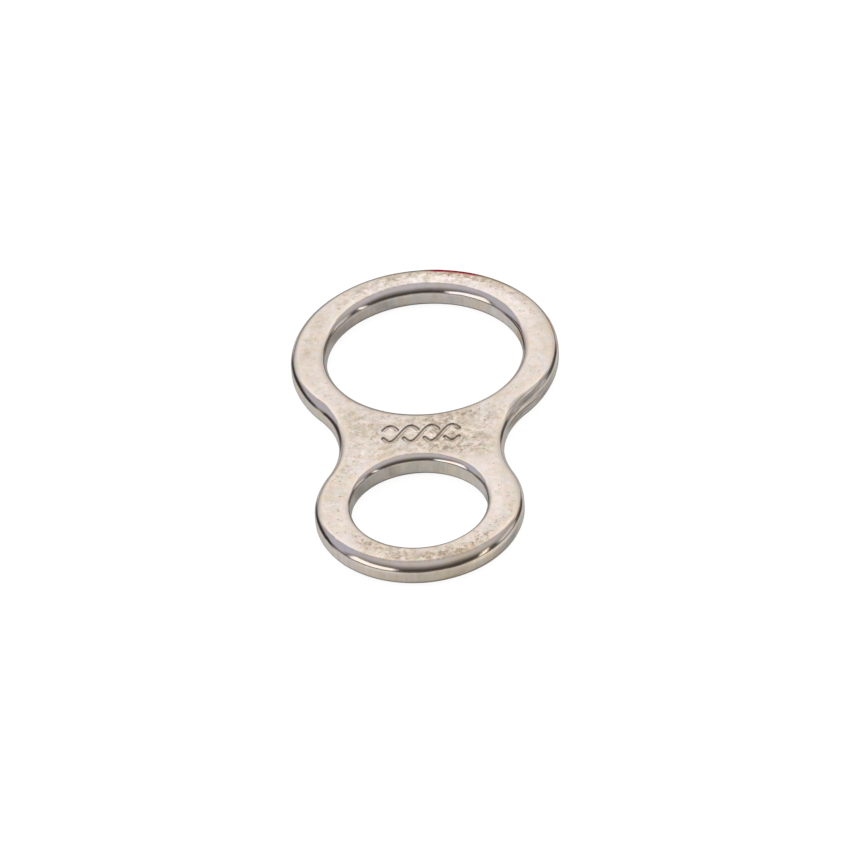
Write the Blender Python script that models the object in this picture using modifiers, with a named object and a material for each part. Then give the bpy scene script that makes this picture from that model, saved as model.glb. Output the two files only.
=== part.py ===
"""Figure-eight belay plate: one flat piece of stainless plate with two eyes.

Frame: metres, +Z up. The plate lies flat on z = 0, with its long axis along Y, the large eye towards +Y and the
small eye towards -Y. The frame's origin is under the middle of the plate's bounding box, and the plate object's
own origin is at mid-thickness above it. The plan outline is symmetric about X = 0.
"""

import math

import bmesh
import bpy

MM = 0.001

# Driving dimensions, in millimetres
PLATE_T = 5.0  # plate thickness
BIG_LOBE_R = 25.7  # outer radius round the large eye
SMALL_LOBE_R = 19.6  # outer radius round the small eye
LOBE_PITCH = 45.3  # distance between the centres of the two lobes
WAIST_R = 18.6  # concave radius that joins the lobes on each side
BIG_EYE_R = 18.8  # large eye, for a bight of rope
SMALL_EYE_R = 12.75  # small eye, for a carabiner
BIG_EYE_SHIFT = -0.15  # how far each eye sits from its lobe's centre, along Y
SMALL_EYE_SHIFT = -0.40

# Edge rounding, in millimetres. The first three are for the top face.
ROUND_OUTER = 2.10
ROUND_BIG_EYE = 2.00
ROUND_SMALL_EYE = 1.41
ROUND_UNDER = 1.90  # every rim of the underside
ROUND_STEPS = 5
EYE_MARGIN = 0.5  # an edge this close outside an eye's radius belongs to that eye

# Rope-twist mark in the web between the eyes, in millimetres
MARK_HALF_LENGTH = 7.8
MARK_WAVES = 2
MARK_SWING = 2.3  # how far each strand swings to either side of the mark's middle line
MARK_STEP = 0.55  # approximate length along X of one straight piece of a strand
MARK_MIN_STEPS = 8
GROOVE_R = 0.45  # radius of the round-nosed cut
GROOVE_DEPTH = 0.25
GROOVE_GAP = 0.70  # uncut length along X between the end of a groove and the crossing it stops at

# Number of straight pieces along each arc of the outline and round each eye
BIG_LOBE_N, WAIST_N, SMALL_LOBE_N = 88, 14, 72
BIG_EYE_N, SMALL_EYE_N = 76, 64

# Mesh tolerances
WELD_DISTANCE = 0.001 * MM
FLAT_ANGLE = math.radians(0.5)  # faces that meet at less than this are merged
RIM_ANGLE = math.radians(60)  # edges sharper than this are rims to be rounded
SHARP_ANGLE = math.radians(35)  # edges sharper than this are shaded sharp

# Positions along Y that follow from the dimensions
BOX_MID_Y = (BIG_LOBE_R - SMALL_LOBE_R) / 2  # measured from halfway between the lobe centres
BIG_Y = LOBE_PITCH / 2 - BOX_MID_Y
SMALL_Y = -LOBE_PITCH / 2 - BOX_MID_Y
BIG_EYE_Y = BIG_Y + BIG_EYE_SHIFT
SMALL_EYE_Y = SMALL_Y + SMALL_EYE_SHIFT
WEB_MID_Y = (BIG_EYE_Y - BIG_EYE_R + SMALL_EYE_Y + SMALL_EYE_R) / 2


def waist_centre():
    """Centre of the concave arc on the +X side, which touches both lobes."""
    to_big = BIG_LOBE_R + WAIST_R
    to_small = SMALL_LOBE_R + WAIST_R
    below_big = (to_big**2 - to_small**2 + LOBE_PITCH**2) / (2 * LOBE_PITCH)
    return math.sqrt(to_big**2 - below_big**2), BIG_Y - below_big


def arc(centre_x, centre_y, radius, start, end, pieces):
    """Points from angle start towards angle end. The end point is left to whatever follows the arc."""
    angles = [start + (end - start) * i / pieces for i in range(pieces)]
    return [(centre_x + radius * math.cos(t), centre_y + radius * math.sin(t)) for t in angles]


def rims():
    """The three closed rims of the plate in plan: the outer outline, the large eye and the small eye."""
    waist_x, waist_y = waist_centre()
    # Directions from each lobe's centre to the +X waist centre, where the arcs touch
    at_big = math.atan2(waist_y - BIG_Y, waist_x)
    at_small = math.atan2(waist_y - SMALL_Y, waist_x)
    half, full = math.pi, 2 * math.pi
    outer = (
        arc(0, BIG_Y, BIG_LOBE_R, at_big, half - at_big, BIG_LOBE_N)
        + arc(-waist_x, waist_y, WAIST_R, -at_big, -at_small, WAIST_N)
        + arc(0, SMALL_Y, SMALL_LOBE_R, half - at_small, full + at_small, SMALL_LOBE_N)
        + arc(waist_x, waist_y, WAIST_R, half + at_small, half + at_big, WAIST_N)
    )
    big_eye = arc(0, BIG_EYE_Y, BIG_EYE_R, 0, full, BIG_EYE_N)
    small_eye = arc(0, SMALL_EYE_Y, SMALL_EYE_R, 0, full, SMALL_EYE_N)
    return outer, big_eye, small_eye


def add_spline(curve, points, z=0.0, closed=False):
    """Adds straight pieces through (x, y) points at height z, all in millimetres."""
    spline = curve.splines.new("POLY")
    spline.points.add(len(points) - 1)
    for point, (x, y) in zip(spline.points, points):
        point.co = (x * MM, y * MM, z * MM, 1.0)
    spline.use_cyclic_u = closed


def mesh_from(source, name, collection):
    """Turns a curve object into a welded mesh object in the same place, and removes the curve object."""
    bpy.context.view_layer.update()
    graph = bpy.context.evaluated_depsgraph_get()
    mesh = bpy.data.meshes.new_from_object(source.evaluated_get(graph))
    mesh.name = name
    work = bmesh.new()
    work.from_mesh(mesh)
    bmesh.ops.remove_doubles(work, verts=work.verts, dist=WELD_DISTANCE)
    # The flat caps come as many thin triangles, and become a few large faces.
    bmesh.ops.dissolve_limit(work, angle_limit=FLAT_ANGLE, verts=work.verts, edges=work.edges)
    bmesh.ops.recalc_face_normals(work, faces=work.faces)
    work.to_mesh(mesh)
    work.free()
    made = bpy.data.objects.new(name, mesh)
    made.matrix_world = source.matrix_world.copy()
    collection.objects.link(made)
    bpy.data.objects.remove(source)
    return made


def blank(collection):
    """The flat plate before its rims are rounded."""
    curve = bpy.data.curves.new("plate_outline", "CURVE")
    curve.dimensions = "2D"
    curve.fill_mode = "BOTH"
    curve.extrude = PLATE_T / 2 * MM  # to each side of the object's own z = 0
    for rim in rims():
        add_spline(curve, rim, closed=True)
    outline = bpy.data.objects.new("plate_outline", curve)
    outline.location.z = PLATE_T / 2 * MM
    collection.objects.link(outline)
    return mesh_from(outline, "figure_eight_plate", collection)


def rounding(edge):
    """How far a rim edge is rounded, in millimetres, by where its middle lies."""
    middle = (edge.verts[0].co + edge.verts[1].co) / 2
    if middle.z < 0:
        return ROUND_UNDER
    x, y = middle.x / MM, middle.y / MM
    if math.hypot(x, y - BIG_EYE_Y) < BIG_EYE_R + EYE_MARGIN:
        return ROUND_BIG_EYE
    if math.hypot(x, y - SMALL_EYE_Y) < SMALL_EYE_R + EYE_MARGIN:
        return ROUND_SMALL_EYE
    return ROUND_OUTER


def round_rims(plate):
    """One Bevel rounds every rim; each edge's bevel weight is its share of the widest rounding."""
    widest = max(ROUND_OUTER, ROUND_BIG_EYE, ROUND_SMALL_EYE, ROUND_UNDER)
    work = bmesh.new()
    work.from_mesh(plate.data)
    weight = work.edges.layers.float.new("bevel_weight_edge")
    for edge in work.edges:
        if edge.calc_face_angle(0.0) > RIM_ANGLE:
            edge[weight] = rounding(edge) / widest
    work.to_mesh(plate.data)
    work.free()

    bevel = plate.modifiers.new("Rounded rims", "BEVEL")
    bevel.limit_method = "WEIGHT"
    bevel.offset_type = "OFFSET"
    bevel.width = widest * MM
    bevel.segments = ROUND_STEPS
    bevel.profile = 0.5  # circular
    bevel.loop_slide = False
    bevel.use_clamp_overlap = False


def strand(side, stops_at_odd):
    """Stretches of one strand of the twist, as lists of points.

    The strand is a sine wave that first swings towards +Y (side 1) or -Y (side -1). It stops short of both
    ends of the mark, and of every other crossing, where the other strand passes over it.
    """
    wave = 2 * MARK_HALF_LENGTH / MARK_WAVES
    last = 2 * MARK_WAVES  # the strands meet every half wave, counted from 0 at the -X end
    stops = [
        -MARK_HALF_LENGTH + wave / 2 * k
        for k in range(last + 1)
        if k in (0, last) or (k % 2 == 1) == stops_at_odd
    ]
    runs = []
    for low, high in zip(stops, stops[1:]):
        low, high = low + GROOVE_GAP, high - GROOVE_GAP
        steps = max(MARK_MIN_STEPS, round((high - low) / MARK_STEP))
        run = []
        for i in range(steps + 1):
            x = low + (high - low) * i / steps
            angle = 2 * math.pi * (x + MARK_HALF_LENGTH) / wave
            run.append((x, WEB_MID_Y + side * MARK_SWING * math.sin(angle)))
        runs.append(run)
    return runs


def groove_cutter(collection):
    """Round bars laid along the strands, sunk into the top face by the groove's depth."""
    curve = bpy.data.curves.new("rope_mark_path", "CURVE")
    curve.dimensions = "3D"
    curve.bevel_depth = GROOVE_R * MM
    curve.bevel_resolution = 2
    curve.use_fill_caps = True
    for side, stops_at_odd in ((1, True), (-1, False)):
        for run in strand(side, stops_at_odd):
            add_spline(curve, run, z=PLATE_T + GROOVE_R - GROOVE_DEPTH)
    path = bpy.data.objects.new("rope_mark_path", curve)
    collection.objects.link(path)
    cutter = mesh_from(path, "rope_mark_cutter", collection)
    cutter.hide_render = True
    cutter.display_type = "WIRE"
    return cutter


def cut_mark(plate, cutter):
    cut = plate.modifiers.new("Rope mark", "BOOLEAN")
    cut.operation = "DIFFERENCE"
    cut.solver = "EXACT"
    cut.object = cutter


def steel():
    """Warm grey metal with a soft sheen."""
    material = bpy.data.materials.new("tumbled_stainless")
    material.use_nodes = True
    inputs = material.node_tree.nodes["Principled BSDF"].inputs
    inputs["Base Color"].default_value = (0.62, 0.55, 0.48, 1.0)
    inputs["Metallic"].default_value = 1.0
    inputs["Roughness"].default_value = 0.32
    return material


def collection_named(name):
    made = bpy.data.collections.new(name)
    bpy.context.scene.collection.children.link(made)
    return made


for old in list(bpy.data.objects):
    bpy.data.objects.remove(old, do_unlink=True)

parts = collection_named("figure_eight_belay_plate")
cutters = collection_named("cutters")

plate = blank(parts)
round_rims(plate)
cut_mark(plate, groove_cutter(cutters))
plate.data.materials.append(steel())
plate.data.shade_smooth()
plate.data.set_sharp_from_angle(angle=SHARP_ANGLE)
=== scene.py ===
"""Figure-eight plate in tumbled stainless steel, lying flat on a pale table.

The plate's underside is at z = 0. Its long axis runs along y, with the large ring toward +y and the small
ring toward -y. The camera looks from -y and above. Lengths are in millimetres unless a line says otherwise.
"""
import math
import random
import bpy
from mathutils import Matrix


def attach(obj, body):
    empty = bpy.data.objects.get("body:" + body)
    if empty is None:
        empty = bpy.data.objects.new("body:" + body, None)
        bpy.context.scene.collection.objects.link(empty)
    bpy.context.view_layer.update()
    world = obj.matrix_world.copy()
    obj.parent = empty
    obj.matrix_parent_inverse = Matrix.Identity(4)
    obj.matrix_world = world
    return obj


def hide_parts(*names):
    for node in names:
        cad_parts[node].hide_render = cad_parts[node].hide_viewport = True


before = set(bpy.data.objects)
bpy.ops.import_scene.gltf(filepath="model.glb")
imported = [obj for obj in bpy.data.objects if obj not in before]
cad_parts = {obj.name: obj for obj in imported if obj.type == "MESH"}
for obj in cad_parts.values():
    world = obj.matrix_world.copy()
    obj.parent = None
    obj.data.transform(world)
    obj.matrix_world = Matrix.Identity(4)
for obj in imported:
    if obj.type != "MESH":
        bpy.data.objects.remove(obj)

from types import SimpleNamespace

import bpy
import numpy as np
from mathutils import Matrix, Vector, geometry, noise

MM = 0.001
DEGREES = 180 / math.pi
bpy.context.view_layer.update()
scene = bpy.context.scene

# ---------------------------------------------------------------------------------------------
# Plate dimensions, the same as the CAD plate's

THICKNESS = 5.0
BIG_LOBE_R, SMALL_LOBE_R, LOBE_PITCH, WAIST_R = 25.7, 19.6, 45.3, 18.6
BIG_EYE_R, SMALL_EYE_R = 18.8, 12.75
MID = (BIG_LOBE_R - SMALL_LOBE_R) / 2
BIG_Y, SMALL_Y = LOBE_PITCH / 2 - MID, -LOBE_PITCH / 2 - MID
BIG_EYE_Y, SMALL_EYE_Y = BIG_Y - 0.15, SMALL_Y - 0.40

# The waist arcs touch both lobes. AT_BIG and AT_SMALL are the angles of the right-hand contacts.
_big_reach, _small_reach = BIG_LOBE_R + WAIST_R, SMALL_LOBE_R + WAIST_R
_down = (
    _big_reach * _big_reach - _small_reach * _small_reach + LOBE_PITCH * LOBE_PITCH
) / (2 * LOBE_PITCH)
WAIST_X, WAIST_Y = math.sqrt(_big_reach * _big_reach - _down * _down), BIG_Y - _down
AT_BIG = math.atan2(WAIST_Y - BIG_Y, WAIST_X)
AT_SMALL = math.atan2(WAIST_Y - SMALL_Y, WAIST_X)

# Each of the three rims: its rounding radius on top, and how far in the flat face starts to ease
# down into that rounding. EASE_ANGLE is how steep the face is by then.
RIMS = ("outer", "big", "small")
ROUND = {"outer": 2.10, "big": 2.00, "small": 1.41}
EASE = {"outer": 3.00, "big": 2.95, "small": 2.40}
EASE_ANGLE = math.radians(9.0)
ROUND_UNDER = 1.90
EASE_UNDER = 2.5

# The rope-twist mark between the eyes: two strands, cut as grooves that stop at each crossing.
MARK_L, MARK_WAVES, MARK_SWING = 7.8, 2, 2.3  # half length, waves, swing to each side
MARK_Y = (BIG_EYE_Y - BIG_EYE_R + SMALL_EYE_Y + SMALL_EYE_R) / 2
GROOVE_R, GROOVE_DEPTH, GROOVE_GAP = 0.45, 0.25, 0.70
GROOVE_LIP, GROOVE_FOOT = GROOVE_R + 0.02, GROOVE_R - 0.19

# Mesh density: spacing along the rims and across the faces, and rows down each part of a rim.
RIM_STEP, TOP_STEP, MARK_STEP, UNDER_STEP = 0.36, 0.42, 0.078, 0.85
EASE_ROWS, TOP_ROWS, WALL_ROWS, UNDER_ROWS = 8, 15, 5, 9
STRAND_POINTS = 90

# Wear: how far the skin waves in and out on the faces, and how much further on the rims.
SLOW_WAVE, SLOW_WAVE_RIM = 0.010, 0.016
FINE_WAVE, FINE_WAVE_RIM = 0.0035, 0.006
SKIN_LOSS = 0.012
NICKS, NICK_SEED = 150, 11
NICK_R, NICK_DEPTH = (0.45, 1.1), (0.006, 0.022)


# ---------------------------------------------------------------------------------------------
# Rims. A station is (centre x, centre y, radius, side, angle). side is +1 where the material is
# inside the arc and -1 where it is outside.

def outer_stations():
    turn = math.pi
    arcs = [
        (0, BIG_Y, BIG_LOBE_R, 1, AT_BIG, turn - AT_BIG),
        (-WAIST_X, WAIST_Y, WAIST_R, -1, -AT_BIG, -AT_SMALL),
        (0, SMALL_Y, SMALL_LOBE_R, 1, turn - AT_SMALL, 2 * turn + AT_SMALL),
        (WAIST_X, WAIST_Y, WAIST_R, -1, turn + AT_SMALL, turn + AT_BIG),
    ]
    stations = []
    for cx, cy, radius, side, start, end in arcs:
        n = max(4, round(abs(end - start) * radius / RIM_STEP))
        stations += [(cx, cy, radius, side, start + (end - start) * i / n) for i in range(n)]
    return np.array(stations)


def eye_stations(cy, radius):
    n = round(2 * math.pi * radius / RIM_STEP)
    return np.array([(0.0, cy, radius, -1, 2 * math.pi * i / n) for i in range(n)])


def rim_at(stations, inset):
    cx, cy, radius, side, angle = stations.T
    reach = radius - side * inset
    return np.c_[cx + reach * np.cos(angle), cy + reach * np.sin(angle)]


def rim_out(stations):
    """Unit vectors in plan that point out of the material at each station."""
    side, angle = stations[:, 3], stations[:, 4]
    return np.c_[side * np.cos(angle), side * np.sin(angle)]


def profile(kind):
    """Rows (inset, height, share of rim) from the top flat, round the edge, to the bottom flat."""
    radius, start = ROUND[kind], EASE[kind]
    round_from = radius * (1 - math.sin(EASE_ANGLE))
    rows, z = [(start, THICKNESS, 0.0)], THICKNESS
    for i in range(EASE_ROWS):
        before = start + (round_from - start) * i / EASE_ROWS
        after = start + (round_from - start) * (i + 1) / EASE_ROWS
        along = (start - (before + after) / 2) / (start - round_from)
        z -= (before - after) * math.tan(EASE_ANGLE * along * along)
        rows.append((after, z, 0.55 * ((i + 1) / EASE_ROWS) ** 1.5))
    crest = z + radius * (1 - math.cos(EASE_ANGLE))
    for i in range(1, TOP_ROWS + 1):
        slope = EASE_ANGLE + (math.pi / 2 - EASE_ANGLE) * i / TOP_ROWS
        inset, drop = radius * (1 - math.sin(slope)), radius * (1 - math.cos(slope))
        rows.append((inset, crest - drop, min(1.0, 0.55 + 0.45 * i / 3)))
    high, low = crest - radius, ROUND_UNDER
    for i in range(1, WALL_ROWS):
        rows.append((0.0, high + (low - high) * i / WALL_ROWS, 1.0))
    for i in range(UNDER_ROWS + 1):
        turn = math.pi / 2 * i / UNDER_ROWS
        rows.append((ROUND_UNDER * (1 - math.cos(turn)), low - ROUND_UNDER * math.sin(turn), 1.0))
    rows.append((EASE_UNDER, 0.0, 0.0))
    return rows


# ---------------------------------------------------------------------------------------------
# Plan of the plate

def inside(x, y):
    """Which points are within the outer outline."""
    big = np.hypot(x, y - BIG_Y) < BIG_LOBE_R
    small = np.hypot(x, y - SMALL_Y) < SMALL_LOBE_R
    web = (
        (np.abs(x) < WAIST_X)
        & (y < BIG_Y + BIG_LOBE_R * math.sin(AT_BIG))
        & (y > SMALL_Y + SMALL_LOBE_R * math.sin(AT_SMALL))
        & (np.hypot(np.abs(x) - WAIST_X, y - WAIST_Y) > WAIST_R)
    )
    return big | small | web


def rim_distances(x, y):
    """Distance in plan from the outer, big and small rims, positive inside the material."""
    angle_big = np.arctan2(y - BIG_Y, np.abs(x))
    angle_small = np.arctan2(y - SMALL_Y, np.abs(x))
    waist = np.hypot(np.abs(x) - WAIST_X, y - WAIST_Y) - WAIST_R
    small_lobe = SMALL_LOBE_R - np.hypot(x, y - SMALL_Y)
    outer = np.where(
        angle_big > AT_BIG,
        BIG_LOBE_R - np.hypot(x, y - BIG_Y),
        np.where(angle_small < AT_SMALL, small_lobe, waist),
    )
    big_eye = np.hypot(x, y - BIG_EYE_Y) - BIG_EYE_R
    small_eye = np.hypot(x, y - SMALL_EYE_Y) - SMALL_EYE_R
    return outer, big_eye, small_eye


def clear_of_rims(x, y, ease, margin):
    """Which points are on a flat face, at least margin in from where its easing starts."""
    clear = inside(x, y)
    for kind, distance in zip(RIMS, rim_distances(x, y)):
        clear &= distance > ease[kind] + margin
    return clear


def in_mark(x, y, grow=0.0):
    return (np.abs(x) < MARK_L + 0.5 + grow) & (np.abs(y - MARK_Y) < MARK_SWING + 0.75 + grow)


def strand_points():
    """Points along the middle of the grooves."""
    wave = 2 * MARK_L / MARK_WAVES
    last = 2 * MARK_WAVES
    points = []
    for side, parity in ((1, 1), (-1, 0)):
        stops = [
            -MARK_L + wave / 2 * k
            for k in range(last + 1)
            if k in (0, last) or k % 2 == parity
        ]
        for low, high in zip(stops, stops[1:]):
            x = np.linspace(low + GROOVE_GAP, high - GROOVE_GAP, STRAND_POINTS)
            swing = np.sin(2 * math.pi * (x + MARK_L) / wave)
            points.append(np.c_[x, MARK_Y + side * MARK_SWING * swing])
    return np.vstack(points)


def mark(x, y):
    """Depth of the mark at each point, and how near it is to the corner where side meets floor.

    The sides are steep, the floor is flat, and tumbling has rounded the lip."""
    depth, corner = np.zeros(len(x)), np.zeros(len(x))
    near = (np.abs(x) < MARK_L + 1) & (np.abs(y - MARK_Y) < MARK_SWING + 1)
    px, py = x[near][:, None], y[near][:, None]
    distance = np.full(len(px), 9.0)
    strands = strand_points()
    chunk = 60  # strand points at a time, to save memory
    for start in range(0, len(strands), chunk):
        sx, sy = strands[start:start + chunk].T
        distance = np.minimum(distance, np.hypot(px - sx, py - sy).min(1))
    sunk = np.clip((GROOVE_LIP - distance) / (GROOVE_LIP - GROOVE_FOOT), 0, 1)
    depth[near] = GROOVE_DEPTH * sunk * sunk * (3 - 2 * sunk)
    corner[near] = np.exp(-(((distance - GROOVE_FOOT - 0.05) / 0.14) ** 2))
    return depth, corner


def hexagonal(step, keep, x_range=(-26, 26), y_range=(-46, 46)):
    """Points of a triangular grid for which keep(x, y) holds."""
    rows = []
    for j, y in enumerate(np.arange(y_range[0], y_range[1], step * math.sqrt(3) / 2)):
        x = np.arange(x_range[0], x_range[1], step) + (step / 2 if j % 2 else 0)
        rows.append(np.c_[x, np.full(len(x), y)])
    points = np.vstack(rows)
    return points[keep(points[:, 0], points[:, 1])]


def top_points():
    margin = 0.25
    coarse = hexagonal(
        TOP_STEP, lambda x, y: clear_of_rims(x, y, EASE, margin) & ~in_mark(x, y, grow=0.25)
    )
    fine = hexagonal(
        MARK_STEP,
        lambda x, y: clear_of_rims(x, y, EASE, margin) & in_mark(x, y),
        (-MARK_L - 1, MARK_L + 1),
        (MARK_Y - MARK_SWING - 1.2, MARK_Y + MARK_SWING + 1.2),
    )
    return np.vstack([coarse, fine])


def under_points():
    ease = {kind: EASE_UNDER for kind in RIMS}
    return hexagonal(UNDER_STEP, lambda x, y: clear_of_rims(x, y, ease, 0.4))


# ---------------------------------------------------------------------------------------------
# Triangles of a flat face

def within(point, polygon):
    x, y = polygon[:, 0], polygon[:, 1]
    x2, y2 = np.roll(x, -1), np.roll(y, -1)
    crossing = (x2 - x) * (point[1] - y) / (y2 - y + 1e-30) + x
    hit = ((y > point[1]) != (y2 > point[1])) & (point[0] < crossing)
    return hit.sum() % 2 == 1


def twice_area(points, triangles):
    """Signed: positive where a triangle runs counter-clockwise."""
    a, b, c = (points[triangles[:, i]] for i in range(3))
    return (b[:, 0] - a[:, 0]) * (c[:, 1] - a[:, 1]) - (c[:, 0] - a[:, 0]) * (b[:, 1] - a[:, 1])


def flat_face(rims, points):
    """Triangulates between the rims through the points. Returns all the points and triangles."""
    all_points = np.vstack(list(rims) + [points])
    edges, rim_count = [], 0
    for rim in rims:
        n = len(rim)
        edges += [(rim_count + i, rim_count + (i + 1) % n) for i in range(n)]
        rim_count += n
    _, _, faces, origins, _, _ = geometry.delaunay_2d_cdt(
        [Vector(p) for p in all_points], edges, [], 0, 1e-6
    )
    source_of = [origin[0] if origin else -1 for origin in origins]
    if -1 in source_of:
        raise RuntimeError("the flat face gained a point")
    triangles = np.array([[source_of[i] for i in face] for face in faces])
    middle = all_points[triangles].mean(1)
    keep = inside(middle[:, 0], middle[:, 1])
    keep &= 0.5 * np.abs(twice_area(all_points, triangles)) > 1e-7
    for distance in rim_distances(middle[:, 0], middle[:, 1]):
        keep &= distance > 0
    # A triangle of rim points alone can bridge a concave part of the outline, outside the flat.
    outer, big, small = rims
    for k in np.where((triangles < rim_count).all(1) & keep)[0]:
        p = middle[k]
        keep[k] = within(p, outer) and not within(p, big) and not within(p, small)
    return all_points, triangles[keep]


# ---------------------------------------------------------------------------------------------
# The plate as one fine mesh: three rim bands, and the two flat faces between them

class Skin:
    """Points, normals, share of rim, distance down the profile, and faces, as they pile up."""

    def __init__(self):
        self.blocks = []
        self.faces = []
        self.count = 0

    def add_points(self, xy, z, normals, rim=0.0, down=0.0):
        n = len(xy)
        block = (np.c_[xy, np.full(n, z)], normals, np.full(n, rim), np.full(n, down))
        self.blocks.append(block)
        self.count += n

    def arrays(self):
        return [np.concatenate(column) for column in zip(*self.blocks)]


def add_band(skin, kind, stations):
    """Sweeps a rim's profile. Returns (point numbers, plan positions) of its two end rows."""
    rows, out, n = profile(kind), rim_out(stations), len(stations)
    base, last, down = skin.count, len(rows) - 1, 0.0
    for k, (inset, z, share) in enumerate(rows):
        above, below = rows[max(k - 1, 0)], rows[min(k + 1, last)]
        down += math.hypot(inset - above[0], z - above[1])
        # The normal is the profile's tangent (inset, height) turned a quarter turn outward.
        outward, upward = above[1] - below[1], above[0] - below[0]
        length = math.hypot(outward, upward)
        if k == 0:
            outward, upward = 0.0, 1.0
        elif k == last:
            outward, upward = 0.0, -1.0
        else:
            outward, upward = outward / length, upward / length
        normals = np.c_[out * outward, np.full(n, upward)]
        skin.add_points(rim_at(stations, inset), z, normals, share, down)
    i = np.arange(n)
    j = (i + 1) % n
    for k in range(last):
        upper, lower = base + k * n, base + (k + 1) * n
        quads = np.c_[upper + i, lower + i, lower + j, upper + j]
        skin.faces += (quads if kind == "outer" else quads[:, ::-1]).tolist()
    return [(i + base + k * n, rim_at(stations, rows[k][0])) for k in (0, last)]


def add_face(skin, rim_rows, points, up):
    """Fills between the three rim rows; the face looks up or down."""
    rims = [xy for _, xy in rim_rows]
    numbers = [number for number, _ in rim_rows]
    index = np.concatenate(numbers + [skin.count + np.arange(len(points))])
    all_points, triangles = flat_face(rims, points)
    normals = np.tile([0.0, 0.0, 1.0 if up else -1.0], (len(points), 1))
    skin.add_points(points, THICKNESS if up else 0.0, normals)
    left = twice_area(all_points, triangles) > 0
    wound_right = (left if up else ~left)[:, None]
    triangles = np.where(wound_right, triangles, triangles[:, ::-1])
    skin.faces.extend(index[triangles].tolist())


def noise_at(points, scale, offset):
    return np.array([noise.noise(Vector(p)) for p in points * scale + offset])


def tumbling(points, rim):
    """How far each point moves out along its normal."""
    # Tumbling leaves every surface very slightly wavy, the rims more than the faces.
    slow = noise_at(points, (0.22, 0.22, 0.35), (0, 0, 7))
    fine = noise_at(points, (0.62, 0.62, 0.8), (31, 0, 0))
    shift = (SLOW_WAVE + SLOW_WAVE_RIM * rim) * slow + (FINE_WAVE + FINE_WAVE_RIM * rim) * fine

    # Nicks where plates knocked together in the tumbler.
    rng = random.Random(NICK_SEED)
    on_rim = np.where(rim > 0.9)[0]
    for _ in range(NICKS):
        centre = points[on_rim[rng.randrange(len(on_rim))]]
        radius = rng.uniform(*NICK_R)
        depth = rng.uniform(*NICK_DEPTH)
        box = np.where((np.abs(points - centre) < radius).all(1))[0]
        distance = np.linalg.norm(points[box] - centre, axis=1) / radius
        shift[box] -= depth * np.clip(1 - distance * distance, 0, 1) ** 2
    return shift - SKIN_LOSS


def build_plate():
    skin = Skin()
    stations = {
        "outer": outer_stations(),
        "big": eye_stations(BIG_EYE_Y, BIG_EYE_R),
        "small": eye_stations(SMALL_EYE_Y, SMALL_EYE_R),
    }
    ends = [add_band(skin, kind, stations[kind]) for kind in RIMS]
    add_face(skin, [top for top, _ in ends], top_points(), up=True)
    add_face(skin, [under for _, under in ends], under_points(), up=False)
    points, normals, rim, down = skin.arrays()
    normals /= np.linalg.norm(normals, axis=1)[:, None]

    on_top = (points[:, 2] > THICKNESS - 1e-6) & (rim < 0.01)
    depth, corner = np.zeros(len(points)), np.zeros(len(points))
    depth[on_top], corner[on_top] = mark(points[on_top, 0], points[on_top, 1])

    points = points + normals * tumbling(points, rim)[:, None]
    points[:, 2] -= depth
    points[:, 2] = np.clip(points[:, 2], 0.0, THICKNESS)

    mesh = bpy.data.meshes.new("figure_eight_plate_finish")
    mesh.from_pydata((points * MM).tolist(), [], skin.faces)
    mesh.validate()
    mesh.shade_smooth()
    groove = np.clip(depth / GROOVE_DEPTH, 0, 1)
    shares = (("rim", rim), ("groove", groove), ("corner", corner), ("down", down))
    for name, values in shares:
        attribute = mesh.attributes.new(name, "FLOAT", "POINT")
        attribute.data.foreach_set("value", values.astype(np.float32))
    return mesh


# ---------------------------------------------------------------------------------------------
# Shader graphs, written as arithmetic on signals

def empty_tree(owner):
    owner.use_nodes = True
    owner.node_tree.nodes.clear()
    return owner.node_tree


def put(socket, value):
    if isinstance(value, Signal):
        socket.id_data.links.new(value.socket, socket)
    else:
        socket.default_value = value


def add_node(tree, kind, inputs=None, **properties):
    """inputs maps a socket's name or number to a signal or a plain value."""
    node = tree.nodes.new(kind)
    node.location = (40 * (len(tree.nodes) - 1), 0)
    for name, value in properties.items():
        setattr(node, name, value)
    for key, value in (inputs or {}).items():
        put(node.inputs[key], value)
    return node


def signal(tree, kind, inputs=None, output=0, **properties):
    return Signal(add_node(tree, kind, inputs, **properties).outputs[output])


def math_node(tree, operation, *values, clamp=False):
    inputs = dict(enumerate(values))
    return signal(tree, "ShaderNodeMath", inputs, operation=operation, use_clamp=clamp)


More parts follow.
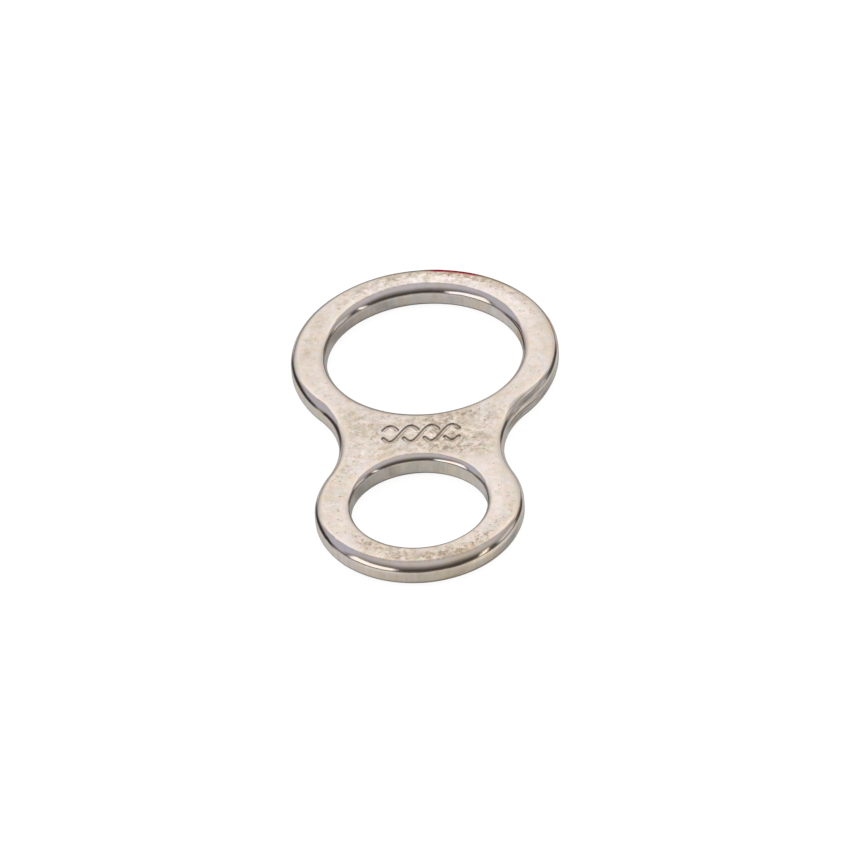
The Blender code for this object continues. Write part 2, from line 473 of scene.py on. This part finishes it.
class Signal:
    """An output socket. +, - and * add Math nodes, so they are for numbers; vectors and colours
    use scaled, shifted, stretched and distance."""

    def __init__(self, socket):
        self.socket = socket
        self.tree = socket.id_data

    def math(self, operation, *others, clamp=False):
        return math_node(self.tree, operation, self, *others, clamp=clamp)

    def __add__(self, other):
        return self.math("ADD", other)

    def __radd__(self, other):
        return math_node(self.tree, "ADD", other, self)

    def __sub__(self, other):
        return self.math("SUBTRACT", other)

    def __rsub__(self, other):
        return math_node(self.tree, "SUBTRACT", other, self)

    def __mul__(self, other):
        return self.math("MULTIPLY", other)

    def ease(self, low, high, to=(0.0, 1.0), kind="SMOOTHSTEP"):
        """Goes from to[0] at low to to[1] at high, and holds beyond. low may be the larger."""
        names = ("Value", "From Min", "From Max", "To Min", "To Max")
        inputs = dict(zip(names, (self, low, high, *to)))
        return signal(self.tree, "ShaderNodeMapRange", inputs, interpolation_type=kind)

    def linear(self, low, high, to):
        return self.ease(low, high, to, kind="LINEAR")

    def window(self, low, high, soft):
        """1 between low and high, 0 outside, with each edge blurred by soft to both sides."""
        return self.ease(low - soft, low + soft) * self.ease(high + soft, high - soft)

    def mix(self, base, over):
        """The base colour, covered by the other by this much."""
        pair = [c + (1.0,) if isinstance(c, tuple) else c for c in (base, over)]
        inputs = {0: self, 6: pair[0], 7: pair[1]}
        return signal(self.tree, "ShaderNodeMix", inputs, 2, data_type="RGBA")

    def stops(self, stops):
        """Colour ramp through (position, colour) stops."""
        node = add_node(self.tree, "ShaderNodeValToRGB", {0: self})
        elements = node.color_ramp.elements
        while len(elements) > 1:
            elements.remove(elements[-1])
        for i, (position, colour) in enumerate(stops):
            element = elements[0] if i == 0 else elements.new(position)
            element.position = position
            element.color = colour + (1.0,)
        return Signal(node.outputs[0])

    def vector(self, operation, key, value, output=0):
        inputs = {0: self, key: value}
        return signal(self.tree, "ShaderNodeVectorMath", inputs, output, operation=operation)

    def scaled(self, factor):
        return self.vector("SCALE", "Scale", factor)

    def shifted(self, x, y, z):
        return self.vector("ADD", 1, (x, y, z))

    def stretched(self, x, y, z):
        return self.vector("MULTIPLY", 1, (x, y, z))

    def distance(self, x, y, z=0.0):
        return self.vector("DISTANCE", 1, (x, y, z), "Value")

    def parts(self):
        return [Signal(s) for s in add_node(self.tree, "ShaderNodeSeparateXYZ", {0: self}).outputs]

    def noise(self, scale, detail=2.0, rough=0.5, distortion=0.0):
        inputs = {
            "Vector": self, "Scale": scale, "Detail": detail,
            "Roughness": rough, "Distortion": distortion,
        }
        return signal(self.tree, "ShaderNodeTexNoise", inputs, "Fac")


def combine(*parts):
    return signal(parts[0].tree, "ShaderNodeCombineXYZ", dict(enumerate(parts)))


# ---------------------------------------------------------------------------------------------
# Tumbled stainless steel

STEEL = (0.600, 0.540, 0.480)
PIT_BROWN = (0.30, 0.205, 0.135)
# Painted shade for the corners and floor of the mark's grooves.
GROOVE_SHADE_BROWN = (0.165, 0.12, 0.085)
WORN_RED = (0.45, 0.060, 0.085)
# Edge tints seen at a glancing angle; the brown one is a painted brownish reflection.
GLANCE_STEEL, GLANCE_BROWN, GLANCE_RED = (0.96, 0.95, 0.94), (0.84, 0.70, 0.58), (0.62, 0.13, 0.17)

# Patches of the rings' skin: from and to angle in degrees (0 at +x, 90 at +y), blur of the ends in
# degrees, the part of the band covered, and strength.
BIG_STAINED = [
    (56.0, 121.0, 12.0, "edge", 1.00),
    (34.0, 53.0, 7.0, "edge", 0.80),
    (60.0, 80.0, 8.0, "edge", 0.55),
    (160.0, 176.0, 10.0, "all", 0.12),
    (-102.0, -84.0, 8.0, "all", 0.60),
]
SMALL_STAINED = [
    (-136.0, -100.0, 8.0, "inner", 0.90),
    (-98.0, -62.0, 8.0, "inner", 0.38),
    (-122.0, -84.0, 12.0, "edge", 0.75),
    (-84.0, -40.0, 12.0, "edge", 1.60),
    (140.0, 158.0, 7.0, "edge", 0.70),
    (-178.0, -150.0, 8.0, "edge", 0.20),
    (-24.0, 4.0, 8.0, "edge", 0.35),
    (108.0, 128.0, 8.0, "all", 0.30),
]
BIG_PALE = [
    (8.0, 120.0, 12.0, "inner", 1.0),
    (24.0, 60.0, 8.0, "inner", 0.55),
    (132.0, 150.0, 8.0, "all", 0.2),
    (-150.0, -108.0, 8.0, "all", 0.4),
    (-168.0, -146.0, 8.0, "inner", 0.4),
    (-36.0, 8.0, 8.0, "inner", 0.8),
    (-34.0, -8.0, 8.0, "edge", 0.3),
]
SMALL_PALE = [
    (-22.0, 46.0, 12.0, "inner", 1.1),
    (-62.0, -26.0, 12.0, "inner", 0.45),
    (124.0, 146.0, 8.0, "all", 0.7),
    (-179.0, -152.0, 4.0, "inner", 1.0),
    (-179.0, -132.0, 4.0, "edge", 0.7),
]
BIG_LIVELY = [
    (60.0, 138.0, 12.0, "inner", 0.70),
    (-122.0, -98.0, 8.0, "all", 0.20),
]


def ring(x, y, centre_y, middle_r, edge_from, edge_to):
    """Angle round a ring, distance out from the middle of its band, and the band's two parts."""
    dy = y - centre_y
    angle = dy.math("ARCTAN2", x) * DEGREES
    out = (x * x + dy * dy).math("SQRT") - middle_r
    edge = out.ease(edge_from, edge_to)
    return SimpleNamespace(angle=angle, out=out, edge=edge, inner=1.0 - edge)


def patches(on_ring, rows):
    shares = []
    for low, high, soft, part, strength in rows:
        share = on_ring.angle.window(low, high, soft)
        if part != "all":
            share = share * getattr(on_ring, part)
        shares.append(share * strength)
    return sum(shares[1:], start=shares[0])


def plate_places(tree):
    """Signals that say where on the plate a point is."""
    position = signal(tree, "ShaderNodeNewGeometry", output="Position")
    mm = position.scaled(1000.0)
    x, y, z = mm.parts()
    at = SimpleNamespace(mm=mm, x=x, y=y, z=z)
    for name in ("rim", "groove", "corner", "down"):
        value = signal(tree, "ShaderNodeAttribute", output="Fac", attribute_name=name)
        setattr(at, name, value)
    at.flat = math_node(tree, "SUBTRACT", 1.0, at.rim, clamp=True)
    at.big = ring(x, y, BIG_Y, middle_r=22.25, edge_from=-0.6, edge_to=1.2)
    at.small = ring(x, y, SMALL_Y, middle_r=16.1, edge_from=-1.2, edge_to=1.4)
    at.is_big = y.ease(-1.0, 3.0)
    at.is_small = y.ease(-10.0, -15.0)
    at.is_web = (1.0 - at.is_big).math("SUBTRACT", at.is_small, clamp=True)
    return at


def skin_zones(at):
    """Where the skin is brown and pitted, where it is pale, and where it is more mottled."""
    web_stain = at.x.ease(-4.0, 3.0, to=(0.22, 0.72)) * at.x.ease(11.0, 7.0, to=(0.45, 1.0))
    stained = (
        at.is_big * patches(at.big, BIG_STAINED)
        + at.is_small * patches(at.small, SMALL_STAINED)
        + at.is_web * web_stain
    )
    pale = at.is_big * patches(at.big, BIG_PALE) + at.is_small * patches(at.small, SMALL_PALE)
    lively = at.is_big * patches(at.big, BIG_LIVELY) + at.is_web * 0.22
    return stained, pale, lively


def ground_patch(at):
    """A dull patch with a ragged end, down the rim at the right of the waist."""
    end = at.y + (at.mm.scaled(0.9).noise(scale=1.0) - 0.5) * 5.0
    from_middle = at.y - 3.2
    # Its upper edge curves away from the face toward both ends.
    inward = at.down - from_middle * from_middle * 0.034
    return at.x.ease(12.0, 14.0) * end.window(-2.6, 9.0, soft=1.6) * inward.ease(1.15, 1.75)


def steel_tone(at, mottle, mixed, stained, pale, lively, ground):
    """Brightness: slow drifts and mottle on the faces, upright streaks on the rims."""
    drift = at.mm.noise(scale=0.085, detail=1.0)
    busy = 0.44 + stained * 1.02 + lively + pale * -0.06
    tone = drift.linear(0.3, 0.7, to=(0.955, 0.985)) * (1.0 + mixed * busy)
    tone = tone * (1.0 + (pale * 0.130 - stained * 0.115))
    upright = at.mm.stretched(1.0, 1.0, 0.16).noise(scale=1.15, detail=3.0, rough=0.6)
    worn = 1.0 + (mottle - 0.5) * 0.16 + (upright - 0.5) * 0.42 * at.z.ease(4.2, 3.0)
    tone = tone * at.flat + at.rim * worn
    # Fine lines along the rim in the ground patch.
    lines = combine(at.down, at.y * 0.05).noise(scale=1.55, detail=3.0, rough=0.75)
    return tone * (1.0 + ground * lines.linear(0.42, 0.59, to=(-0.46, 0.30)))


def oxide_tint(at, tone, mixed, stained, pale):
    """The steel's colour with faint tints, warmer in the stained places."""
    red = at.mm.shifted(-15.0, 60.0, 9.0).noise(scale=0.50, detail=3.0, rough=0.6)
    red = red.linear(0.38, 0.62, to=(-0.028, 0.028))
    red = red + stained * 0.014 + pale * -0.006 + mixed * -0.07
    blue = at.mm.shifted(55.0, -20.0, 4.0).noise(scale=0.38, detail=3.0, rough=0.6)
    blue = blue.linear(0.32, 0.68, to=(-0.030, 0.030))
    blue = blue - (stained * 0.032 - pale * 0.015) + mixed * 0.11 + at.flat * 0.008
    shifts = (red, 0.0, blue)
    channels = [math_node(tone.tree, "ADD", *pair) for pair in zip(STEEL, shifts)]
    return combine(*[tone * channel for channel in channels])


def skin_pits(at, stained):
    """Brown specks, thick in the stained places and scattered elsewhere."""
    speck = at.mm.noise(scale=1.05, detail=4.0, rough=0.66, distortion=0.6)
    where = at.mm.shifted(40.0, 11.0, 3.0).noise(scale=0.11, rough=0.55)
    thick = stained * 0.100 + where.ease(0.48, 0.64, to=(0.0, 0.018))
    return (speck + thick).ease(0.585, 0.735) * at.flat


def red_trace(at, mottle, grain):
    """A worn streak on the large ring's far outer edge, and a fainter touch at its right."""
    ragged = at.big.out + (grain - 0.5) * 1.3
    streak = at.big.angle.window(65.0, 89.0, soft=4.0) * ragged.ease(1.20, 1.65)
    touch = at.big.angle.window(-2.0, 4.0, soft=3.0) * at.big.out.ease(2.7, 3.2) * 0.40
    trace = streak.math("ADD", touch, clamp=True) * at.z.ease(3.4, 4.1)
    return trace * (mottle + grain * 0.4).ease(0.52, 0.78, to=(0.70, 1.0))


def glance_colour(at, red):
    """At a glancing angle the rim is a little duller, and on two stretches of the large ring's right side
    its reflection is painted brown, a painted reflection of the table.
    """
    near, far = at.big.angle.window(8.0, 22.0, soft=5.0), at.big.angle.window(48.0, 62.0, soft=4.0)
    brown = at.is_big * near.math("ADD", far, clamp=True)
    return red.mix(brown.mix(GLANCE_STEEL, GLANCE_BROWN), GLANCE_RED)


def steel_roughness(at, mottle, grain, pits, ground):
    """The faces are satin, the rims are burnished."""
    face = mottle.ease(0.3, 0.7, to=(0.23, 0.32)) + pits * 0.18
    rim = at.rim * grain.ease(0.3, 0.7, to=(0.10, 0.15))
    return face * at.flat + rim + ground * 0.24


def steel_bump(at, grain, pits):
    """Grain and pits on the faces, fine upright lines on the walls, in millimetres."""
    lines = at.mm.stretched(1.0, 1.0, 0.10).noise(scale=2.6, detail=3.0, rough=0.6)
    height = (grain - 0.5) * (at.flat * 0.010) - pits * 0.012 + lines * at.rim * 0.006
    inputs = {"Strength": 1.0, "Distance": MM, "Height": height}
    return signal(at.mm.tree, "ShaderNodeBump", inputs)


def steel_material():
    material = bpy.data.materials.new("tumbled_stainless_finish")
    tree = empty_tree(material)
    at = plate_places(tree)
    stained, pale, lively = skin_zones(at)
    ground = ground_patch(at)

    # Mottle at three sizes, and their sum about zero.
    patch = at.mm.noise(scale=0.30, rough=0.55, distortion=0.6)
    mottle = at.mm.shifted(3.0, 70.0, 1.0).noise(scale=0.85, rough=0.6)
    grain = at.mm.noise(scale=2.1, rough=0.65)
    mixed = (patch - 0.5) * 0.76 + (mottle - 0.5) * 1.18 + (grain - 0.5) * 0.46

    tone = steel_tone(at, mottle, mixed, stained, pale, lively, ground)
    colour = oxide_tint(at, tone, mixed, stained, pale)
    pits = skin_pits(at, stained)
    colour = (pits * 0.72).mix(colour, PIT_BROWN)
    # Painted shade: the mark's corners are darkened brown, and its floor a little, for the shade in its
    # grooves.
    groove_shade = (at.corner * 0.74).math("ADD", at.groove * 0.24, clamp=True)
    colour = (groove_shade * mottle.ease(0.3, 0.7, to=(0.88, 1.0))).mix(colour, GROOVE_SHADE_BROWN)
    red = red_trace(at, mottle, grain)
    colour = red.mix(colour, WORN_RED)

    surface = signal(tree, "ShaderNodeBsdfPrincipled", {
        "Metallic": 1.0,
        "Base Color": colour,
        "Specular Tint": glance_colour(at, red),
        "Roughness": steel_roughness(at, mottle, grain, pits, ground),
        "Normal": steel_bump(at, grain, pits),
    })
    add_node(tree, "ShaderNodeOutputMaterial", {0: surface})
    return material


# ---------------------------------------------------------------------------------------------
# Studio. It is laid out by bearing (0 toward the camera, + to its right) and height of a
# direction, both in degrees.

# Colours by height: (degrees, colour).
# The room in front of the table is dark low down and lighter overhead.
FRONT = [
    (0, (0.16, 0.15, 0.145)), (8, (0.11, 0.10, 0.097)), (14, (0.085, 0.077, 0.073)),
    (20, (0.085, 0.077, 0.073)), (25, (0.13, 0.12, 0.12)), (30, (0.20, 0.185, 0.19)),
    (35, (0.265, 0.25, 0.26)), (41, (0.305, 0.29, 0.305)), (50, (0.45, 0.435, 0.465)),
    (60, (0.66, 0.645, 0.70)), (70, (0.735, 0.72, 0.79)), (80, (0.82, 0.805, 0.87)),
    (90, (0.82, 0.805, 0.87)),
]
# The backdrop is pale and warm, duller where it meets the table.
BACKDROP = [
    (0, (0.72, 0.70, 0.69)), (5, (0.79, 0.77, 0.76)), (10, (0.88, 0.86, 0.85)),
    (15, (0.97, 0.95, 0.94)), (20, (1.06, 1.03, 1.01)), (25, (1.14, 1.11, 1.09)),
    (32, (1.25, 1.21, 1.18)), (40, (1.30, 1.265, 1.235)), (50, (1.32, 1.29, 1.265)),
    (90, (1.32, 1.29, 1.265)),
]
# Grey flats at the sides, and grey above.
LEFT_SIDE = [
    (0, (0.36, 0.35, 0.38)), (7, (0.55, 0.54, 0.61)), (14, (0.71, 0.70, 0.81)),
    (40, (0.71, 0.71, 0.83)), (60, (0.69, 0.68, 0.78)), (90, (0.82, 0.805, 0.87)),
]
RIGHT_SIDE = [
    (0, (0.80, 0.78, 0.79)), (6, (0.95, 0.93, 0.95)), (13, (0.94, 0.92, 0.94)),
    (27, (0.52, 0.50, 0.53)), (42, (0.70, 0.685, 0.74)), (60, (0.76, 0.75, 0.82)),
    (90, (0.82, 0.805, 0.87)),
]
WHITE = (1.0, 1.0, 1.0)
FRAME_GREY = (0.50, 0.475, 0.485)
LEFT_STAND, RIGHT_STAND = (0.07, 0.06, 0.055), (0.10, 0.08, 0.07)
SOFT_BOX, STRIP_BOX = (1.74, 1.71, 1.74), (2.0, 1.94, 1.90)


def angles(direction):
    """x, y, bearing and height of a direction."""
    x, y, z = direction.parts()
    return x, y, x.math("ARCTAN2", y * -1.0) * DEGREES, z.math("ARCSINE") * DEGREES


def left_to_right(bearing, left, right):
    return bearing.ease(-20.0, 20.0, to=(left, right))


def stands(bearing, height):
    """Two dark stands behind the plate. Each crosses the horizon on a slope, partly as its
    reflection in the table."""
    from_middle = bearing + 120.0

    def above_line(at_middle, outward, inward):
        """Height above a line with one slope on each side of the stand's middle."""
        slope = (from_middle * outward).math("MINIMUM", from_middle * inward)
        return height - slope - at_middle

    left = bearing.window(-151.0, -94.0, soft=6.5)
    left = left * above_line(at_middle=13.0, outward=1.05, inward=-0.40).ease(7.0, -7.0)
    left = left * above_line(at_middle=-18.0, outward=0.30, inward=0.0).ease(-5.0, 5.0)
    above_fall = height - (bearing - 120.0) * -0.45 - 7.5
    right = bearing.window(113.5, 142.0, soft=5.5) * above_fall.window(-14.0, 9.5, soft=5.5)
    return left, right


def room(x, y, bearing, height):
    """The room's colour, without the stands and lamps."""
    wide = bearing.math("ABSOLUTE")
    up = height.math("DIVIDE", 90.0, clamp=True)

    def by_height(rows):
        # A ramp holds colours up to 1, so they are stored halved and doubled after it.
        return up.stops([(h / 90, tuple(c / 2 for c in colour)) for h, colour in rows]).scaled(2.0)

    is_right = x.math("GREATER_THAN", 0.0)
    side = is_right.mix(by_height(LEFT_SIDE), by_height(RIGHT_SIDE))
    at_side = (wide - left_to_right(bearing, 80.0, 86.5)).ease(-6.0, 6.0)
    # Higher up the side flats reach further forward, and further on the right.
    reach = wide.ease(42.0, 84.0) * height.ease(17.0, 44.0) * left_to_right(bearing, 0.45, 0.95)
    colour = at_side.math("MAXIMUM", reach).mix(by_height(FRONT), side)

    # The backdrop's top edge is a plane across the room that dips away from the middle, with a
    # thin dark frame. The backdrop is brightest just under that edge.
    across = x.math("ABSOLUTE")
    dip = across.math("DIVIDE", -0.10).math("EXPONENT")
    edge_y = dip.math("MULTIPLY_ADD", 0.19, is_right.math("MULTIPLY_ADD", -0.025, 0.452))
    edge = y - edge_y
    frame_share = edge.ease(-0.125, -0.055) * across.ease(0.20, 0.42, to=(0.75, 0.25))
    colour = frame_share.mix(colour, FRAME_GREY)
    lit = by_height(BACKDROP).scaled(edge.ease(0.20, 0.09, to=(1.0, 1.20)))
    # Low down the backdrop is lighter on the right.
    leaning = height.ease(15.0, 6.0) * left_to_right(bearing, -0.13, 0.22)
    lit = lit.scaled(leaning + 1.0)
    colour = (edge.ease(-0.035, 0.025) * wide.ease(119.0, 131.0)).mix(colour, lit)

    # Straight behind the plate the backdrop is darkest where it meets the table.
    behind = wide.ease(168.0, 176.0) * height.ease(24.0, 8.0)
    colour = colour.scaled(1.0 - behind * 0.61)
    # A brighter patch on it, left of straight behind.
    glow = bearing.window(-172.0, -150.0, soft=6.0) * height.window(16.0, 34.0, soft=6.0)
    return colour.scaled(glow.math("MULTIPLY_ADD", 0.13, 1.0))


def studio_world():
    world = bpy.data.worlds.new("studio")
    scene.world = world
    tree = empty_tree(world)
    x, y, bearing, height = angles(signal(tree, "ShaderNodeTexCoord", output="Generated"))
    colour = room(x, y, bearing, height)
    left, right = stands(bearing, height)
    colour = (left * 0.95).mix(colour, LEFT_STAND)
    colour = (right * 0.92).mix(colour, RIGHT_STAND)

    # A wide soft box to the camera's left, its top edge sloping.
    box_top = (bearing + 50.0).math("MULTIPLY_ADD", 0.18, height)
    box = bearing.window(-74.5, -25.0, soft=3.0) * height.ease(-5.0, 6.0) * box_top.ease(34.0, 23.5)
    colour = box.mix(colour, SOFT_BOX)
    # A narrow leaning one to its right.
    lean = bearing - height * 0.38
    strip = lean.window(59.5, 66.5, soft=2.0) * height.window(1.0, 26.0, soft=6.0)
    colour = strip.mix(colour, STRIP_BOX)

    # Only reflections see the room; diffuse light is even and the camera sees white.
    path = add_node(tree, "ShaderNodeLightPath")
    colour = Signal(path.outputs["Is Diffuse Ray"]).mix(colour, WHITE)
    colour = Signal(path.outputs["Is Camera Ray"]).mix(colour, WHITE)
    background = signal(tree, "ShaderNodeBackground", {0: colour})
    add_node(tree, "ShaderNodeOutputWorld", {0: background})


# ---------------------------------------------------------------------------------------------
# Table

TABLE_HALF = 2.0  # metres
TABLE_DROP = 0.02
TABLE_TINT = (1.0, 1.0, 1.0)
DIFFUSE_SHARE, GLOW_SHARE = 0.42, 0.58
SEEN_GLOW, SEEN_DIFFUSE = 0.90, (0.16, 0.16, 0.16, 1)


def table_light(tree):
    """How light the table is off camera, by place and by the direction it is seen from."""
    geo = add_node(tree, "ShaderNodeNewGeometry")
    mm = Signal(geo.outputs["Position"]).scaled(1000.0)
    x, _, _ = mm.parts()
    to_big = mm.distance(0.0, BIG_Y) - BIG_LOBE_R
    to_small = mm.distance(0.0, SMALL_Y) - SMALL_LOBE_R
    away = to_big.math("SMOOTH_MIN", to_small, 8.0)
    _, _, bearing, height = angles(Signal(geo.outputs["Incoming"]).scaled(-1.0))
    wide = bearing.math("ABSOLUTE")

    # The lit part is a pool around the plate.
    light = height.ease(-34.0, -12.0, to=(0.76, 0.85)) * away.ease(14.0, 46.0, to=(1.0, 0.16))
    light = light + bearing.window(51.0, 72.0, soft=6.0) * 0.12
    # The table shows the lamps and the stands a little, as a satin white surface does.
    low_right = height.ease(-18.0, -10.0, to=(0.0, 0.19))
    low_left = height.ease(-20.0, -28.0, to=(0.0, 0.13))
    share = (
        1.0 - wide.ease(146.0, 162.0) * left_to_right(bearing, 0.34, 0.22)
        + bearing.window(-135.0, -90.0, soft=12.0) * 0.14
        + bearing.window(78.0, 146.0, soft=10.0) * 0.18
        - bearing.window(110.0, 134.0, soft=8.0) * 0.20
        - bearing.window(110.0, 148.0, soft=8.0) * low_right
        + bearing.window(-96.0, -50.0, soft=10.0) * low_left
        + bearing.window(56.0, 88.0, soft=10.0) * 0.22
    )
    # A lighter spot in front of the small ring, to its left.
    share = share + mm.distance(-18.0, -55.0).ease(16.0, 5.0) * 0.26
    left, right = stands(bearing, height)
    light = light * share * (1.0 - left * 0.90) * (1.0 - right * 0.80)
    # The table stays light inside the eyes.
    in_big = mm.distance(0.0, BIG_EYE_Y).math("LESS_THAN", BIG_EYE_R)
    in_small = mm.distance(0.0, SMALL_EYE_Y).math("LESS_THAN", SMALL_EYE_R)
    in_eye = in_big.math("MAXIMUM", in_small)
    light = light * in_eye.math("MULTIPLY_ADD", x.ease(-14.0, 12.0, to=(0.42, 0.66)), 1.0)
    # The soft box is on the left, so the plate shades the table next to it on the right.
    shade = bearing.window(40.0, 146.0, soft=14.0) * away.ease(5.0, 1.2)
    light = light * (1.0 - shade * 0.34)
    # It is darkest right under the plate's edge.
    return light * away.ease(-0.2, 0.7, to=(0.62, 1.0))


def table_material():
    """Glowing near-white to the camera; in reflections, the lit pool."""
    material = bpy.data.materials.new("pale_floor")
    tree = empty_tree(material)
    light = table_light(tree)
    tint = combine(*[light * channel for channel in TABLE_TINT])
    diffuse = signal(tree, "ShaderNodeBsdfDiffuse", {0: tint.scaled(DIFFUSE_SHARE)})
    # Painted light: in reflections the table glows with the painted pool of light, on top of the light it
    # takes.
    painted_pool_glow = signal(tree, "ShaderNodeEmission", {0: tint.scaled(GLOW_SHARE)})
    reflected = signal(tree, "ShaderNodeAddShader", {0: diffuse, 1: painted_pool_glow})
    glow = signal(tree, "ShaderNodeEmission", {0: (1, 1, 1, 1), 1: SEEN_GLOW})
    faint = signal(tree, "ShaderNodeBsdfDiffuse", {0: SEEN_DIFFUSE})
    seen = signal(tree, "ShaderNodeAddShader", {0: glow, 1: faint})
    is_camera = signal(tree, "ShaderNodeLightPath", output="Is Camera Ray")
    surface = signal(tree, "ShaderNodeMixShader", {0: is_camera, 1: reflected, 2: seen})
    add_node(tree, "ShaderNodeOutputMaterial", {0: surface})
    return material


def table_top():
    corners = [(x * TABLE_HALF, y * TABLE_HALF, 0) for x, y in ((-1, -1), (1, -1), (1, 1), (-1, 1))]
    mesh = bpy.data.meshes.new("floor")
    mesh.from_pydata(corners, [], [(0, 1, 2, 3)])
    floor = bpy.data.objects.new("floor", mesh)
    floor.location.z = -TABLE_DROP * MM
    scene.collection.objects.link(floor)
    mesh.materials.append(table_material())


# ---------------------------------------------------------------------------------------------
# Camera: it looks at the target from this far off, swung toward +x by the azimuth.

CAMERA_AZIMUTH, CAMERA_ELEVATION, CAMERA_ROLL = 4.22, 38.93, -4.79  # degrees
CAMERA_DISTANCE, CAMERA_TARGET = 1291.8, (0.631, 1.584, 0.0)
CAMERA_LENS, CAMERA_SENSOR = 287.05995, 36.0


def camera():
    azimuth, elevation = math.radians(CAMERA_AZIMUTH), math.radians(CAMERA_ELEVATION)
    roll = math.radians(CAMERA_ROLL)
    back = Vector((
        math.sin(azimuth) * math.cos(elevation),
        -math.cos(azimuth) * math.cos(elevation),
        math.sin(elevation),
    ))
    level = Vector((0, 0, 1)).cross(back).normalized()
    upright = back.cross(level)
    right = level * math.cos(roll) + upright * math.sin(roll)
    up = upright * math.cos(roll) - level * math.sin(roll)
    data = bpy.data.cameras.new("camera")
    data.sensor_width = CAMERA_SENSOR
    data.lens = CAMERA_LENS
    data.clip_start, data.clip_end = 0.05, 20.0  # metres
    viewer = bpy.data.objects.new("camera", data)
    placement = Matrix((right, up, back)).transposed().to_4x4()
    placement.translation = Vector(CAMERA_TARGET) * MM + back * (CAMERA_DISTANCE * MM)
    viewer.matrix_world = placement
    scene.collection.objects.link(viewer)
    scene.camera = viewer


# ---------------------------------------------------------------------------------------------
# Assembly

plate = bpy.data.objects.new("figure_eight_plate_finish", build_plate())
scene.collection.objects.link(plate)
steel = steel_material()
plate.data.materials.append(steel)
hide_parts("figure_eight_plate")
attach(plate, "root")
cad_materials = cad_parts["figure_eight_plate"].data.materials
cad_materials.clear()
cad_materials.append(steel)

table_top()
studio_world()
camera()
scene.view_settings.view_transform = "Standard"
scene.view_settings.look = "None"
